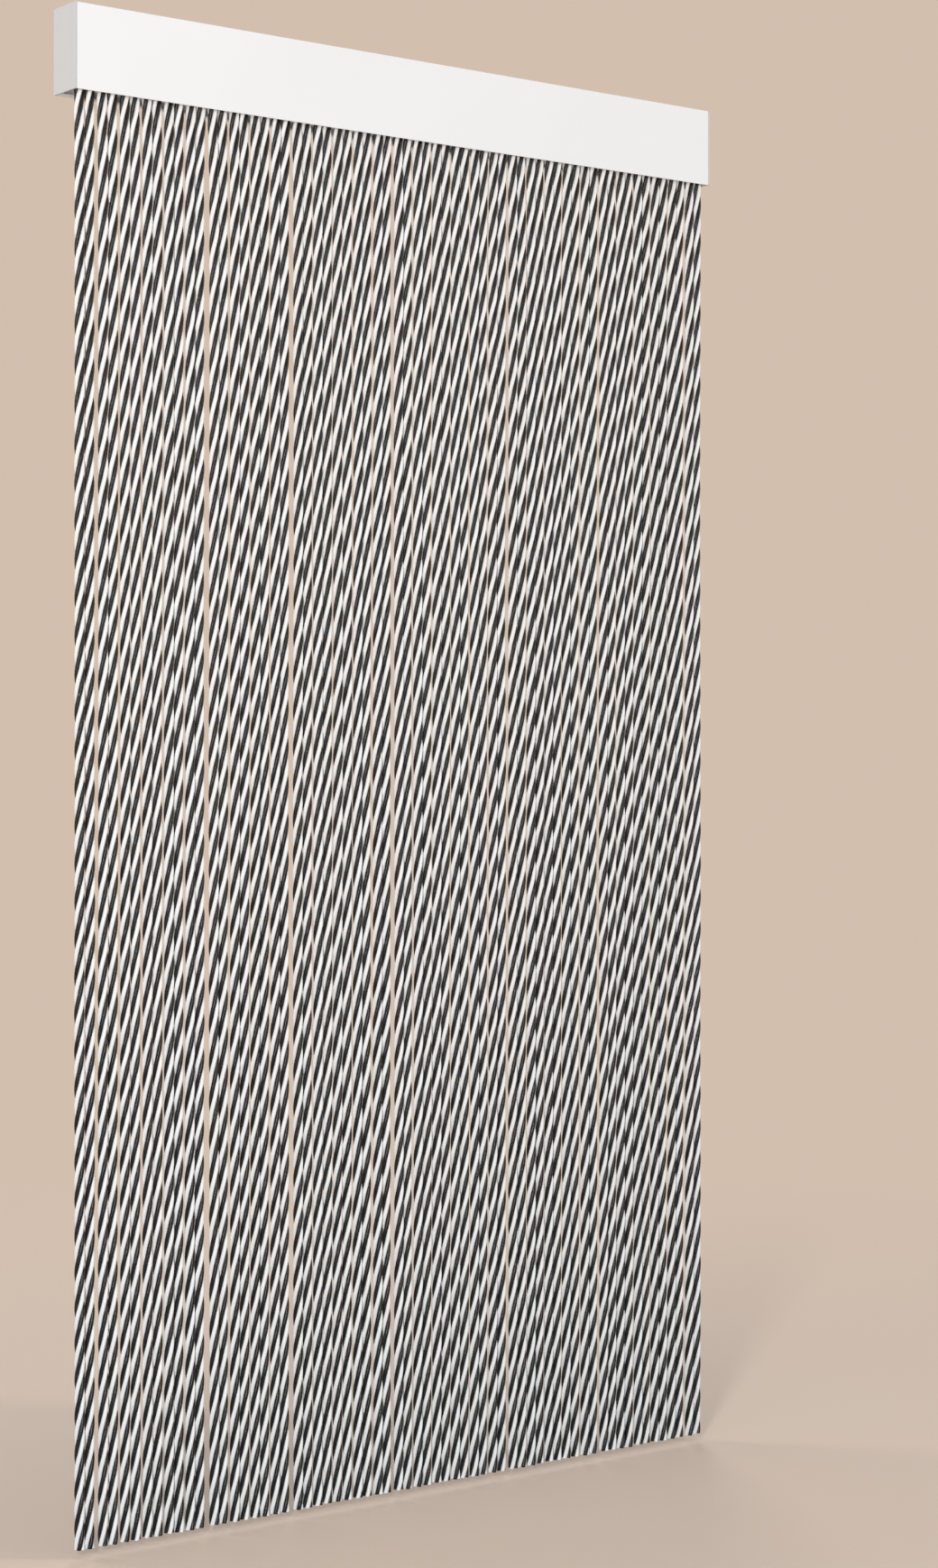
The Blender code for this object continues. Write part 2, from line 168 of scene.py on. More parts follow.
def build_grain_group():
    """Fine lumps that tilt the surface: a coat's orange peel or a mould's sparked grain."""
    group, given, made = start_group(
        "fine_grain",
        (("Place", "NodeSocketVector"), ("Size", "NodeSocketFloat"), ("Depth", "NodeSocketFloat")),
        (("Normal", "NodeSocketVector"),))
    bump = group.nodes.new("ShaderNodeBump")
    group.links.new(noise_node(group, given.outputs["Place"], given.outputs["Size"]), bump.inputs["Height"])
    group.links.new(given.outputs["Depth"], bump.inputs["Distance"])
    group.links.new(bump.outputs["Normal"], made.inputs["Normal"])
    return group


CLOUDY_TONE = build_tone_group()
SETTLED_DUST = build_dust_group()
FINE_GRAIN = build_grain_group()


def place_group(tree, group, **values):
    """The group as a node, its inputs set to numbers or colours, or linked to outputs."""
    node = tree.nodes.new("ShaderNodeGroup")
    node.node_tree = group
    for label, value in values.items():
        if isinstance(value, bpy.types.NodeSocket):
            tree.links.new(value, node.inputs[label])
        else:
            node.inputs[label].default_value = (*value, 1.0) if isinstance(value, tuple) else value
    return node.outputs


def start_material(name, colour, roughness, metallic=0.0, specular=0.5):
    """A material whose shader holds its plain values, with its node tree and shader."""
    material = bpy.data.materials.new(name)
    material.use_nodes = True
    material.diffuse_color = (*colour, 1.0)
    shader = material.node_tree.nodes["Principled BSDF"]
    shader.inputs["Base Color"].default_value = (*colour, 1.0)
    shader.inputs["Roughness"].default_value = roughness
    shader.inputs["Metallic"].default_value = metallic
    shader.inputs["Specular IOR Level"].default_value = specular
    return material, material.node_tree, shader


def build_dusty_finish(name, colour, roughness, cloud_amount, cloud_size, dust_amount, grain_size,
                       grain_depth):
    """A coat or a plastic with cloudy tone, a fine grain and dust on what faces up."""
    material, tree, shader = start_material(name, colour, roughness)
    place = object_place(tree)
    tone = place_group(tree, CLOUDY_TONE, Place=place, Color=colour, Amount=cloud_amount,
                       Size=cloud_size)
    dusty = place_group(tree, SETTLED_DUST, Color=tone["Color"], Roughness=roughness,
                        Amount=dust_amount)
    grain = place_group(tree, FINE_GRAIN, Place=place, Size=grain_size, Depth=grain_depth)
    tree.links.new(dusty["Color"], shader.inputs["Base Color"])
    tree.links.new(dusty["Roughness"], shader.inputs["Roughness"])
    tree.links.new(grain["Normal"], shader.inputs["Normal"])
    return material


def dress(node_name, material):
    """Gives a node of the frame its finish."""
    node = nodes[node_name]
    node.data.materials.clear()
    node.data.materials.append(material)


POWDER_COAT = build_dusty_finish("satin_white_powder_coat", WHITE_COAT, COAT_ROUGHNESS,
                                 COAT_CLOUD_AMOUNT, COAT_CLOUD_SIZE, COAT_DUST_AMOUNT,
                                 PEEL_SIZE, PEEL_DEPTH)
dress("wall_rail", POWDER_COAT)


# Five hooked brackets carry the rod. Each is punched from 2 mm steel strip and zinc plated, with
# its foot turned into the rail's track. The rod is drawn steel with the same plating.
ZINC = (0.60, 0.61, 0.63)
ZINC_ROUGHNESS = 0.38
SPANGLE_AMOUNT = 0.35
SPANGLE_SIZE = 0.006
ZINC_DUST_AMOUNT = 0.7
DRAW_LINE_WIDTH = 0.00025
DRAW_LINE_STRETCH = 60.0
DRAW_LINE_DETAIL = 2.0
DRAW_LINE_DEPTH = 0.00002
LINES_DULL_BY = 0.25
SLICK_BY = 0.12


def build_zinc():
    """Zinc plate: pale patches over fine lines along the strip, with dust on top."""
    material, tree, shader = start_material("zinc_plated_steel", ZINC, ZINC_ROUGHNESS, metallic=1.0)
    place = object_place(tree)
    along = tree.nodes.new("ShaderNodeMapping")
    along.inputs["Scale"].default_value = (1.0 / DRAW_LINE_STRETCH, 1.0, 1.0)
    tree.links.new(place, along.inputs["Vector"])
    lines = noise_node(tree, along.outputs["Vector"], DRAW_LINE_WIDTH, detail=DRAW_LINE_DETAIL)
    tone = place_group(tree, CLOUDY_TONE, Place=place, Color=ZINC, Amount=SPANGLE_AMOUNT,
                       Size=SPANGLE_SIZE)
    dull_lines = math_node(tree, "MULTIPLY", lines, LINES_DULL_BY)
    roughness = math_node(tree, "ADD", dull_lines, ZINC_ROUGHNESS - SLICK_BY)
    dusty = place_group(tree, SETTLED_DUST, Color=tone["Color"], Roughness=roughness,
                        Amount=ZINC_DUST_AMOUNT)
    bump = tree.nodes.new("ShaderNodeBump")
    bump.inputs["Distance"].default_value = DRAW_LINE_DEPTH
    tree.links.new(lines, bump.inputs["Height"])
    tree.links.new(dusty["Color"], shader.inputs["Base Color"])
    tree.links.new(dusty["Roughness"], shader.inputs["Roughness"])
    tree.links.new(bump.outputs["Normal"], shader.inputs["Normal"])
    return material


ZINC_PLATE = build_zinc()
for node_name in sorted(nodes):
    if node_name.startswith("rod_bracket"):
        dress(node_name, ZINC_PLATE)
dress("hanging_rod", ZINC_PLATE)


# A pan head screw clamps each bracket's foot in the track. They are plain steel, turned and
# blackened a little by oil.
SCREW_STEEL = (0.42, 0.43, 0.45)
SCREW_ROUGHNESS = 0.33
OIL_AMOUNT = 0.5
OIL_SIZE = 0.0015
TURNED_SIZE = 0.0004
TURNED_DEPTH = 0.00002


def build_screw_steel():
    """Turned steel, darker where the oil lies."""
    material, tree, shader = start_material("oiled_screw_steel", SCREW_STEEL, SCREW_ROUGHNESS, metallic=1.0)
    place = object_place(tree)
    tone = place_group(tree, CLOUDY_TONE, Place=place, Color=SCREW_STEEL, Amount=OIL_AMOUNT, Size=OIL_SIZE)
    turned = place_group(tree, FINE_GRAIN, Place=place, Size=TURNED_SIZE, Depth=TURNED_DEPTH)
    tree.links.new(tone["Color"], shader.inputs["Base Color"])
    tree.links.new(turned["Normal"], shader.inputs["Normal"])
    return material


OILED_STEEL = build_screw_steel()
for node_name in sorted(nodes):
    if node_name.startswith("bracket_screw"):
        dress(node_name, OILED_STEEL)


# Each pair of strands hangs from a moulded head, a milky plastic block whose eye turns on the rod.
# Its edges are rounded by the mould, and a faint line runs round it where the mould's halves met.
HEAD_PLASTIC = (0.74, 0.74, 0.72)
HEAD_ROUGHNESS = 0.45
HEAD_CLOUD_AMOUNT = 0.12
HEAD_CLOUD_SIZE = 0.012
HEAD_DUST_AMOUNT = 0.8
HEAD_GRAIN_SIZE = 0.0005
HEAD_GRAIN_DEPTH = 0.00003
HEAD_RADIUS = 0.0079
HEAD_FLOOR_DROP = 0.0045
HEAD_WIDTH = 0.0344
HEAD_EDGE = 0.0006
EYE_RADIUS = 0.0033
HEAD_SIDES = 56
MOULD_LINE_WIDTH = 0.0003
MOULD_LINE_HEIGHT = 0.00008
SMALLEST_SINE = 1e-6
SHARP_DEGREES = 40

rod_low, rod_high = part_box("hanging_rod")
rod_y = (rod_low.y + rod_high.y) / 2
rod_z = (rod_low.z + rod_high.z) / 2


def grid_faces(rows, columns, wrap_rows=False):
    """The quads of a grid of points whose columns close up, and whose rows may."""
    across = np.arange(columns)
    start = np.arange(rows if wrap_rows else rows - 1)[:, None]
    below = (start + 1) % rows
    corners = (start * columns + across, start * columns + (across + 1) % columns,
               below * columns + (across + 1) % columns, below * columns + across)
    return np.stack(corners, axis=-1).reshape(-1, 4)


def mesh_piece(name, points, quads, caps=()):
    """An object from points, quads and a few many-sided faces, with soft shading."""
    mesh = bpy.data.meshes.new(name)
    corners = np.concatenate([quads.ravel()] + [np.asarray(cap) for cap in caps])
    sizes = np.array([4] * len(quads) + [len(cap) for cap in caps])
    mesh.vertices.add(len(points))
    mesh.vertices.foreach_set("co", points.astype(np.float32).ravel())
    mesh.loops.add(len(corners))
    mesh.loops.foreach_set("vertex_index", corners.astype(np.int32))
    mesh.polygons.add(len(sizes))
    mesh.polygons.foreach_set("loop_start", (np.cumsum(sizes) - sizes).astype(np.int32))
    mesh.update(calc_edges=True)
    mesh.validate()
    mesh.shade_smooth()
    mesh.set_sharp_from_angle(angle=math.radians(SHARP_DEGREES))
    piece = bpy.data.objects.new(name, mesh)
    bpy.context.scene.collection.objects.link(piece)
    return piece


def build_head_mesh(name, middle_x):
    """The head as one skin: up one end, along its outside, down the other end and through its eye."""
    turn = np.linspace(0, 2 * math.pi, HEAD_SIDES, endpoint=False)
    down = np.maximum(-np.sin(turn), SMALLEST_SINE)
    outer = np.minimum(HEAD_RADIUS, HEAD_FLOOR_DROP / down)
    eye = np.full(HEAD_SIDES, EYE_RADIUS)
    raised = outer + MOULD_LINE_HEIGHT
    half, edge, line = HEAD_WIDTH / 2, HEAD_EDGE, MOULD_LINE_WIDTH / 2
    skin = ((-half, eye + edge), (-half, outer - edge), (edge - half, outer),
            (-line * 2, outer), (-line, raised), (line, raised), (line * 2, outer),
            (half - edge, outer), (half, outer - edge),
            (half, eye + edge), (half - edge, eye), (edge - half, eye))
    rows = [np.stack([np.full(HEAD_SIDES, middle_x + x), rod_y + radius * np.cos(turn),
                      rod_z + radius * np.sin(turn)], axis=-1) for x, radius in skin]
    return mesh_piece(name, np.concatenate(rows), grid_faces(len(rows), HEAD_SIDES, wrap_rows=True))


MILKY_PLASTIC = build_dusty_finish("milky_moulded_plastic", HEAD_PLASTIC, HEAD_ROUGHNESS,
                                   HEAD_CLOUD_AMOUNT, HEAD_CLOUD_SIZE, HEAD_DUST_AMOUNT,
                                   HEAD_GRAIN_SIZE, HEAD_GRAIN_DEPTH)
pair_names = sorted(name for name in nodes if name.startswith("strand_pair"))
for pair_name in pair_names:
    low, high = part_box(pair_name)
    head = build_head_mesh(pair_name.replace("strand_pair", "strand_head"), (low.x + high.x) / 2)
    head.data.materials.append(MILKY_PLASTIC)
    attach(head, pair_name)
    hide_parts(pair_name)


# Each strand is four soft vinyl tubes, two white and two black, twisted together with a right
# hand lay and cut square at the bottom. The black tubes are coarse, with a mottled shine along
# them. Part of that shine is painted sheen: grey patches in their colour that are partly scuffs
# and partly painted highlight. The white ones are smooth. No two strands hang or turn quite alike.
STRAND_PITCH = 0.0165
STRAND_DIAMETER = 0.015
TUBES = 4
TUBE_DIAMETER = 0.0064
TUBE_BORE = 0.0036
BORE_DEPTH = 0.012
TUBE_SIDES = 12
SIDES_GATHER = 0.35
LAY_AT_TOP = 0.115
LAY_AT_CUT = 0.106
LAY_VARIES = (0.97, 1.03)
TWIST_SLIP = 0.5
RINGS_PER_TURN = 24
MOULDED_IN = 0.0039
CUT_SPREAD = 0.0012
PAIRS_BEFORE_WIDE_GAPS = (0, 1, 6, 10, 15, 21, 26, 31, 32)
PAIR_LEAN = 0.0018
PAIR_WANDER = 0.0006
STRAND_WANDER = 0.0004
DEPTH_WANDER = 0.0010
WANDER_WAVES = (1.7, 0.8, 0.37)
WANDER_SHARES = (0.45, 0.3, 0.15)
WANDER_SQUEEZE = 1.4
LEAN_STARTS = 0.008
LEAN_GROWS = 0.12
ROUTE_STEP = 15

MAP_STRIPS = 5
MAP_SPARE_ROWS = 3
STRIP_MARGIN = 0.06
STRIP_WIDTH = 0.88
DISC_PLACES = (0.28, 0.72)
DISC_REACH = 0.18
DISC_HEIGHT = 0.8

WHITE_VINYL = (0.89, 0.885, 0.88)
WHITE_ROUGHNESS = 0.42
WHITE_MARKS_SHORTEN = 0.5
WHITE_CLOUD_AMOUNT = 0.10
WHITE_CLOUD_SIZE = 0.02
AGED_WHITE = (0.82, 0.81, 0.78)
WHITE_TUBES_DIFFER = 0.35
WHITE_SPECK = (0.50, 0.49, 0.47)
SPECK_SIZE = 0.0009
SPECK_DETAIL = 4.0
SPECKS_START = 0.66
SPECKS_SHARPNESS = 5.0
SKIN_SIZE = 0.0016
SKIN_DEPTH = 0.00006

BLACK_VINYL = (0.003, 0.003, 0.003)
BLACK_ROUGHNESS = 0.26
BLACK_SPECULAR = 0.34
# The grey below is partly scuffs and partly a painted sheen that stands in for the mottled highlight along
# the black tubes.
SCUFF_AND_PAINTED_SHEEN_GREY = (0.075, 0.075, 0.074)
BARK_AND_SHEEN_LENGTH_SHARE = 0.45
BARK_SIZE = 0.00062
BARK_DETAIL = 5.0
BARK_DEPTH = 0.00024
STRETCH_SIZE = 0.006
STRETCH_DETAIL = 2.0
BLACK_TUBES_DIFFER = 0.2
COARSE_STARTS = 0.45
COARSE_SHARPNESS = 4.0
SCUFF_AND_SHEEN_START = 0.52
SCUFF_AND_SHEEN_SHARPNESS = 5.0
SLICK_SCUFF_AND_SHEEN = 0.2
SLICK_BARK = 0.25
COARSE_BARK = 0.9

strand_top = rod_z - MOULDED_IN
random = np.random.default_rng(64)


def slow_wander():
    """A smooth wander between -1 and 1 with the depth, mostly to one side, set by random numbers."""
    bias, *starts = random.random(1 + len(WANDER_WAVES))

    def wander(depth):
        total = 2 * bias - 1
        for wave, share, start in zip(WANDER_WAVES, WANDER_SHARES, starts):
            total = total + share * np.sin(2 * math.pi * (depth / wave + start))
        return np.tanh(WANDER_SQUEEZE * total)
    return wander


def pair_lean(pairs_before):
    """How far a pair leans aside, so that a wider gap opens at some places along the rail."""
    last = max(wide for wide in PAIRS_BEFORE_WIDE_GAPS if wide <= pairs_before)
    following = min(wide for wide in PAIRS_BEFORE_WIDE_GAPS if wide > pairs_before)
    inside = following - last - 1
    return PAIR_LEAN * (1 - 2 * (pairs_before - last) / inside) if inside else 0.0


def strand_line(x, length, lean, pair_wander):
    """The points of a strand's middle line, from its head down, and how deep each lies."""
    rings = int(length / LAY_AT_TOP * RINGS_PER_TURN) + 1
    depth = np.linspace(0, length, rings)
    free = np.clip((depth - LEAN_STARTS) / LEAN_GROWS, 0, 1)
    free = free * free * (3 - 2 * free)
    own_wander, depth_wander = slow_wander(), slow_wander()
    aside = lean + PAIR_WANDER * pair_wander(depth) + STRAND_WANDER * own_wander(depth)
    line = np.stack([x + free * aside, rod_y + free * DEPTH_WANDER * depth_wander(depth),
                     strand_top - depth], axis=-1)
    return line, depth


def side_angles(sides):
    """Where a tube's sides stand round it, gathered on the half that looks outward."""
    even = 2 * math.pi * sides / TUBE_SIDES
    return even + SIDES_GATHER * np.sin(even)


def tube_rings(line, depth, angle, radius):
    """The rings of one tube of a strand, square to its own run, and that run's directions."""
    reach = (STRAND_DIAMETER - TUBE_DIAMETER) / 2
    outward = np.stack([np.cos(angle), np.sin(angle), np.zeros_like(angle)], axis=-1)
    middle = line + reach * outward
    along = np.gradient(middle, depth, axis=0)
    along /= np.linalg.norm(along, axis=1, keepdims=True)
    outward = outward - along * np.sum(outward * along, axis=1, keepdims=True)
    outward /= np.linalg.norm(outward, axis=1, keepdims=True)
    aside = np.cross(along, outward)
    turn = math.pi + side_angles(np.arange(TUBE_SIDES))
    spokes = outward[:, None] * np.cos(turn)[:, None] + aside[:, None] * np.sin(turn)[:, None]
    return middle[:, None] + radius * spokes, spokes, middle, along


def cut_level(points, along, z):
    """Slides the points along the tube to the height of the cut."""
    return points + along * ((z - points[..., 2:]) / along[2])


def strip_map(rows, first_strip):
    """The places on a picture of a tube's corners, cut into strips side by side, and of its ends."""
    strips = TUBES * MAP_STRIPS
    strip_rows = math.ceil((rows + MAP_SPARE_ROWS) / MAP_STRIPS)
    strip, row = np.divmod(np.arange(rows - 1), strip_rows)
    strip = np.repeat(strip, TUBE_SIDES) + first_strip
    row, side = (grid.ravel() for grid in np.meshgrid(row, np.arange(TUBE_SIDES), indexing="ij"))
    ends = side_angles(np.stack([side, side + 1, side + 1, side], axis=-1)) / (2 * math.pi)
    across = (strip[:, None] + STRIP_MARGIN + STRIP_WIDTH * ends) / strips
    heights = np.stack([row, row, row + 1, row + 1], axis=-1) / strip_rows
    turn = side_angles(np.arange(TUBE_SIDES))
    discs = []
    for place in DISC_PLACES:
        middle = (first_strip + MAP_STRIPS - 1 + place) / strips
        discs.append(np.stack([middle + DISC_REACH * np.cos(turn) / strips,
                               1 + (DISC_HEIGHT * np.sin(turn) - 1) / strip_rows], axis=-1))
    return np.stack([across, heights], axis=-1).reshape(-1, 2), discs


def build_tube(line, depth, angle, z_cut):
    """One tube, with its closed top, its open cut end and the bore that shows there."""
    radius = TUBE_DIAMETER / 2
    rings, spokes, middle, along = tube_rings(line, depth, angle, radius)
    end = along[-1]
    rings[-1] = cut_level(rings[-1], end, z_cut)
    lip = cut_level(middle[-1] + spokes[-1] * TUBE_BORE / 2, end, z_cut)
    inside = lip - end * BORE_DEPTH
    points = np.concatenate([rings, lip[None], inside[None]])
    rows = len(points)
    turn = side_angles(np.arange(TUBE_SIDES))
    run = np.concatenate([depth, [depth[-1]], [depth[-1] - BORE_DEPTH]]) + random.random()
    shift = random.random(2)
    place = np.empty((rows, TUBE_SIDES, 3))
    place[..., 0] = radius * np.cos(turn) + shift[0]
    place[..., 1] = radius * np.sin(turn) + shift[1]
    place[..., 2] = run[:, None]
    top = np.arange(TUBE_SIDES)[::-1]
    bottom = (rows - 1) * TUBE_SIDES + np.arange(TUBE_SIDES)
    return points.reshape(-1, 3), place.reshape(-1, 3), grid_faces(rows, TUBE_SIDES), (top, bottom)


def build_strand(name, x, lean, pair_wander):
    """A strand of four tubes that wind round its line, as one piece, with its route and length."""
    length = strand_top - cad_box[0][2] - CUT_SPREAD * random.random()
    line, depth = strand_line(x, length, lean, pair_wander)
    lay = (LAY_AT_TOP + (LAY_AT_CUT - LAY_AT_TOP) * depth / length) * random.uniform(*LAY_VARIES)
    turns = np.concatenate([[0.0], np.cumsum(np.diff(depth) / lay[1:])])
    slip = slow_wander()
    twist = 2 * math.pi * (random.random() - turns) + TWIST_SLIP * slip(depth)
    points, places, quads, caps, colours, tones, corners, discs = [], [], [], [], [], [], [], []
    for tube in range(TUBES):
        angle = twist + tube * 2 * math.pi / TUBES
        tube_points, place, tube_quads, tube_caps = build_tube(line, depth, angle, strand_top - length)
        first = len(tube_points) * tube
        points.append(tube_points)
        places.append(place)
        quads.append(tube_quads + first)
        caps += [cap + first for cap in tube_caps]
        tube_corners, tube_discs = strip_map(len(tube_points) // TUBE_SIDES, tube * MAP_STRIPS)
        corners.append(tube_corners)
        discs += tube_discs
        colours.append(np.full(len(tube_quads), tube % 2))
        tones.append(np.full(len(tube_points), random.random()))
    colours.append(np.repeat(np.arange(TUBES) % 2, len(DISC_PLACES)))
    piece = mesh_piece(name, np.concatenate(points), np.concatenate(quads), caps)
    piece.data.polygons.foreach_set("material_index", np.concatenate(colours).astype(np.int32))
    unrolled = piece.data.attributes.new("tube_place", "FLOAT_VECTOR", "POINT")
    unrolled.data.foreach_set("vector", np.concatenate(places).astype(np.float32).ravel())
    tone = piece.data.attributes.new("tube_tone", "FLOAT", "POINT")
    tone.data.foreach_set("value", np.concatenate(tones).astype(np.float32))
    flat = piece.data.uv_layers.new(name="OFBake")
    flat.uv.foreach_set("vector", np.concatenate(corners + discs).astype(np.float32).ravel())
    return piece, np.concatenate([line[:-1:ROUTE_STEP], line[-1:]]), length


def attribute_node(tree, name):
    """The outputs of a node that reads a mesh's attribute."""
    node = tree.nodes.new("ShaderNodeAttribute")
    node.attribute_name = name
    return node.outputs


def stretched_place(tree, share):
    """Places on the unrolled tube, drawn out so that marks lie along it."""
    mapping = tree.nodes.new("ShaderNodeMapping")
    mapping.inputs["Scale"].default_value = (1.0, 1.0, share)
    tree.links.new(attribute_node(tree, "tube_place")["Vector"], mapping.inputs["Vector"])
    return mapping.outputs["Vector"]


def own_tone(tree, amount):
    """A number that is the same all over a tube, from 0 to amount."""
    return math_node(tree, "MULTIPLY", attribute_node(tree, "tube_tone")["Fac"], amount)


def mask_past(tree, level, start, sharpness):
    """A mask that stays 0 up to start, and then rises to 1 with the level."""
    past = math_node(tree, "SUBTRACT", level, start)
    return math_node(tree, "MULTIPLY", past, sharpness, clamp=True)


def build_white_vinyl():
    """Smooth and bright, each tube a shade of its own, with small specks of dirt."""
    material, tree, shader = start_material("smooth_white_vinyl", WHITE_VINYL, WHITE_ROUGHNESS)
    place = stretched_place(tree, WHITE_MARKS_SHORTEN)
    tone = place_group(tree, CLOUDY_TONE, Place=place, Color=WHITE_VINYL, Amount=WHITE_CLOUD_AMOUNT,
                       Size=WHITE_CLOUD_SIZE)
    specks = noise_node(tree, place, SPECK_SIZE, detail=SPECK_DETAIL)
    mask = mask_past(tree, specks, SPECKS_START, SPECKS_SHARPNESS)
    aged = mix_colour(tree, own_tone(tree, WHITE_TUBES_DIFFER), tone["Color"], AGED_WHITE)
    tree.links.new(mix_colour(tree, mask, aged, WHITE_SPECK), shader.inputs["Base Color"])
    skin = place_group(tree, FINE_GRAIN, Place=place, Size=SKIN_SIZE, Depth=SKIN_DEPTH)
    tree.links.new(skin["Normal"], shader.inputs["Normal"])
    return material


def build_black_vinyl():
    """Near black, with coarse stretches that scatter the light and slick ones that mirror it. Its grey
    patches are partly scuffs and partly a painted sheen.
    """
    material, tree, shader = start_material("coarse_black_vinyl", BLACK_VINYL, BLACK_ROUGHNESS,
                                            specular=BLACK_SPECULAR)
    place = stretched_place(tree, BARK_AND_SHEEN_LENGTH_SHARE)
    bark = noise_node(tree, place, BARK_SIZE, detail=BARK_DETAIL)
    stretches = math_node(tree, "ADD", noise_node(tree, place, STRETCH_SIZE, detail=STRETCH_DETAIL),
                          own_tone(tree, BLACK_TUBES_DIFFER))
    coarse = mask_past(tree, stretches, COARSE_STARTS, COARSE_SHARPNESS)
    # Painted sheen and scuffs: where the bark noise is high, the colour turns grey, partly as wear and
    # partly as painted highlight.
    scuff_and_sheen = mask_past(tree, bark, SCUFF_AND_SHEEN_START, SCUFF_AND_SHEEN_SHARPNESS)
    share = math_node(tree, "ADD", coarse, SLICK_SCUFF_AND_SHEEN)
    mask = math_node(tree, "MULTIPLY", scuff_and_sheen, share, clamp=True)
    tree.links.new(mix_colour(tree, mask, BLACK_VINYL, SCUFF_AND_PAINTED_SHEEN_GREY), shader.inputs["Base Color"])
    depth = math_node(tree, "ADD", math_node(tree, "MULTIPLY", coarse, COARSE_BARK), SLICK_BARK)
    bump = tree.nodes.new("ShaderNodeBump")
    bump.inputs["Distance"].default_value = BARK_DEPTH
    tree.links.new(math_node(tree, "MULTIPLY", bark, depth), bump.inputs["Height"])
    tree.links.new(bump.outputs["Normal"], shader.inputs["Normal"])
    return material


SMOOTH_WHITE = build_white_vinyl()
COARSE_BLACK = build_black_vinyl()
number = 0
for pairs_before, pair_name in enumerate(pair_names):
    low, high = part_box(pair_name)
    pair_wander = slow_wander()
    for side in (-1, 1):
        number += 1
        x = (low.x + high.x + side * STRAND_PITCH) / 2
        strand, route, length = build_strand(f"strand_{number:02d}", x, pair_lean(pairs_before),
                                             pair_wander)
        strand.data.materials.append(SMOOTH_WHITE)
        strand.data.materials.append(COARSE_BLACK)
        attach(strand, pair_name)
        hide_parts(pair_name)


# The end caps are moulded in a pale grey plastic, pushed into the ends of the rail, and hold the
# ends of the rod in their sockets. Their grey is partly the plastic's own and partly painted shade,
# set darker so that the end faces look shaded.
# Partly painted shade: this grey is set darker than the cover's white so the end faces show as in shade.
CAP_GREY_AND_PAINTED_SHADE = (0.560, 0.565, 0.570)
CAP_ROUGHNESS = 0.48
CAP_CLOUD_AMOUNT = 0.06
CAP_CLOUD_SIZE = 0.03
CAP_DUST_AMOUNT = 0.25
CAP_GRAIN_SIZE = 0.0007
CAP_GRAIN_DEPTH = 0.00008

GREY_MOULDING_AND_PAINTED_SHADE = build_dusty_finish("pale_grey_moulding_and_painted_shade", CAP_GREY_AND_PAINTED_SHADE, CAP_ROUGHNESS,
                                   CAP_CLOUD_AMOUNT, CAP_CLOUD_SIZE, CAP_DUST_AMOUNT,
                                   CAP_GRAIN_SIZE, CAP_GRAIN_DEPTH)
dress("end_cap_left", GREY_MOULDING_AND_PAINTED_SHADE)
dress("end_cap_right", GREY_MOULDING_AND_PAINTED_SHADE)


# The front cover is a second extrusion with the rail's white coat. It hooks over the rail's top
# and hides the rod, the heads and the brackets.
dress("front_cover", POWDER_COAT)


# A plain pale floor lies just under the strands. It keeps the curtain's shadow near by, and
# further out it fades into the pale air round the object.
PALE = (0.65, 0.52, 0.425)
FLOOR_PAINT = (0.80, 0.64, 0.525)
NEUTRAL = (0.55, 0.55, 0.55)
FLOOR_ROUGHNESS = 0.9
FLOOR_SPECULAR = 0.1
FLOOR_REACH = 14.0
FLOOR_DROP = 0.012
FADE_STARTS = 1.0
FADE_WIDTH = 2.4


def build_floor_material():
    """Keeps the object's shadow near it, is the air's own colour further out, and tints no light."""
    material, tree, shader = start_material("pale_floor", PALE, FLOOR_ROUGHNESS, specular=FLOOR_SPECULAR)
    seen = tree.nodes.new("ShaderNodeLightPath").outputs["Is Camera Ray"]
    tree.links.new(mix_colour(tree, seen, NEUTRAL, FLOOR_PAINT), shader.inputs["Base Color"])
    distance = tree.nodes.new("ShaderNodeVectorMath")
    distance.operation = "LENGTH"
    tree.links.new(object_place(tree), distance.inputs[0])
    far = math_node(tree, "SUBTRACT", distance.outputs["Value"], FADE_STARTS)
    mask = math_node(tree, "DIVIDE", far, FADE_WIDTH, clamp=True)
    air = tree.nodes.new("ShaderNodeEmission")
    air.inputs["Color"].default_value = (*PALE, 1.0)
    mix = tree.nodes.new("ShaderNodeMixShader")
    tree.links.new(mask, mix.inputs["Fac"])
    tree.links.new(shader.outputs["BSDF"], mix.inputs[1])
    tree.links.new(air.outputs["Emission"], mix.inputs[2])
    tree.links.new(mix.outputs["Shader"], tree.nodes["Material Output"].inputs["Surface"])
    return material


floor_mesh = bpy.data.meshes.new("floor")
floor_mesh.from_pydata([(-FLOOR_REACH, -FLOOR_REACH, 0), (FLOOR_REACH, -FLOOR_REACH, 0),
                        (FLOOR_REACH, FLOOR_REACH, 0), (-FLOOR_REACH, FLOOR_REACH, 0)],
                       [], [(0, 1, 2, 3)])
floor = bpy.data.objects.new("floor", floor_mesh)
bpy.context.scene.collection.objects.link(floor)
floor.location.z = cad_box[0][2] - FLOOR_DROP
floor_mesh.materials.append(build_floor_material())


# Soft light comes from large panels round the object, the strongest at the front left, over an
# even fill that is a little cool, to balance the tan that shines back. The camera sees the air as
# pale as the floor. Each panel has its name, place, size and power.
FILL_COLOUR = (0.90, 1.00, 1.09)
FILL_STRENGTH = 0.27
PANELS = (
    ("front_left_panel", (-3.9, -3.9, -0.5), (0.5, 3.6), 208.0),
    ("front_right_panel", (3.4, -3.4, 0.4), (0.4, 3.0), 57.0),
    ("back_left_panel", (-2.8, 4.2, 0.8), (1.8, 3.0), 60.0),
    ("back_right_panel", (3.0, 4.0, 0.8), (1.8, 3.0), 70.0),
    ("top_panel", (0.0, -0.6, 3.4), (2.4, 1.8), 42.0),
)


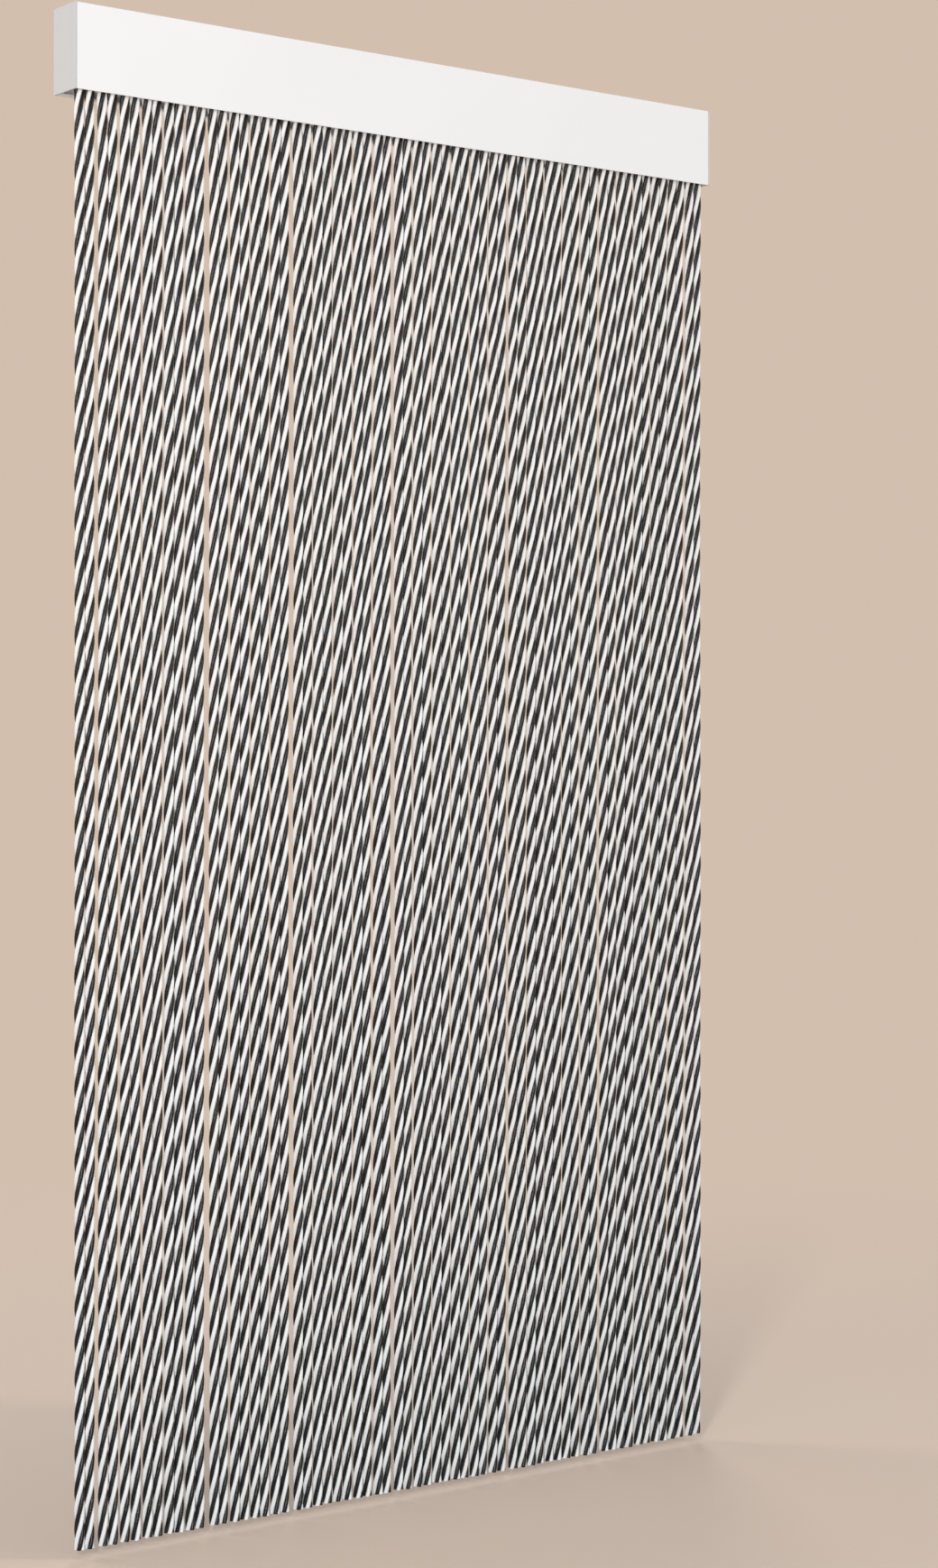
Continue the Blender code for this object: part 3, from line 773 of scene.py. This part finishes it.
def build_air():
    """A cool white fill for the object, and the pale colour for the camera and for mirrored air."""
    world = bpy.data.worlds.new("studio_air")
    bpy.context.scene.world = world
    world.use_nodes = True
    tree = world.node_tree
    fill = tree.nodes["Background"]
    fill.inputs["Color"].default_value = (*FILL_COLOUR, 1.0)
    fill.inputs["Strength"].default_value = FILL_STRENGTH
    seen = tree.nodes.new("ShaderNodeBackground")
    seen.inputs["Color"].default_value = (*PALE, 1.0)
    rays = tree.nodes.new("ShaderNodeLightPath")
    direct = math_node(tree, "MAXIMUM", rays.outputs["Is Camera Ray"], rays.outputs["Is Glossy Ray"])
    mask = math_node(tree, "MAXIMUM", direct, rays.outputs["Is Transmission Ray"])
    mix = tree.nodes.new("ShaderNodeMixShader")
    tree.links.new(mask, mix.inputs["Fac"])
    tree.links.new(fill.outputs["Background"], mix.inputs[1])
    tree.links.new(seen.outputs["Background"], mix.inputs[2])
    tree.links.new(mix.outputs["Shader"], tree.nodes["World Output"].inputs["Surface"])


def add_panel(name, place, size, power, aim):
    """A rectangular lamp that faces the point it is aimed at."""
    lamp = bpy.data.lights.new(name, "AREA")
    lamp.shape = "RECTANGLE"
    lamp.size, lamp.size_y = size
    lamp.energy = power
    panel = bpy.data.objects.new(name, lamp)
    bpy.context.scene.collection.objects.link(panel)
    panel.location = place
    panel.rotation_euler = (aim - panel.location).to_track_quat("-Z", "Y").to_euler()


build_air()
middle = (rod_low + rod_high) / 2
middle.z = (cad_box[0][2] + cad_box[1][2]) / 2
for name, place, size, power in PANELS:
    add_panel(name, place, size, power, middle)
bpy.context.scene.view_settings.view_transform = "Standard"


# The camera stands to the left of the curtain at half its height and looks level, as in the
# photograph. Its turn is in degrees away from the wall's square, its lens in millimetres.
CAMERA_PLACE = (-2.648, -3.699, -0.990)
CAMERA_TURN = 37.06
CAMERA_LENS = 67.06
CAMERA_SHIFT = -0.0259

camera_data = bpy.data.cameras.new("camera")
camera_data.lens = CAMERA_LENS
camera_data.shift_y = CAMERA_SHIFT
camera = bpy.data.objects.new("camera", camera_data)
bpy.context.scene.collection.objects.link(camera)
camera.location = CAMERA_PLACE
camera.rotation_euler = (math.radians(90), 0.0, -math.radians(CAMERA_TURN))
bpy.context.scene.camera = camera
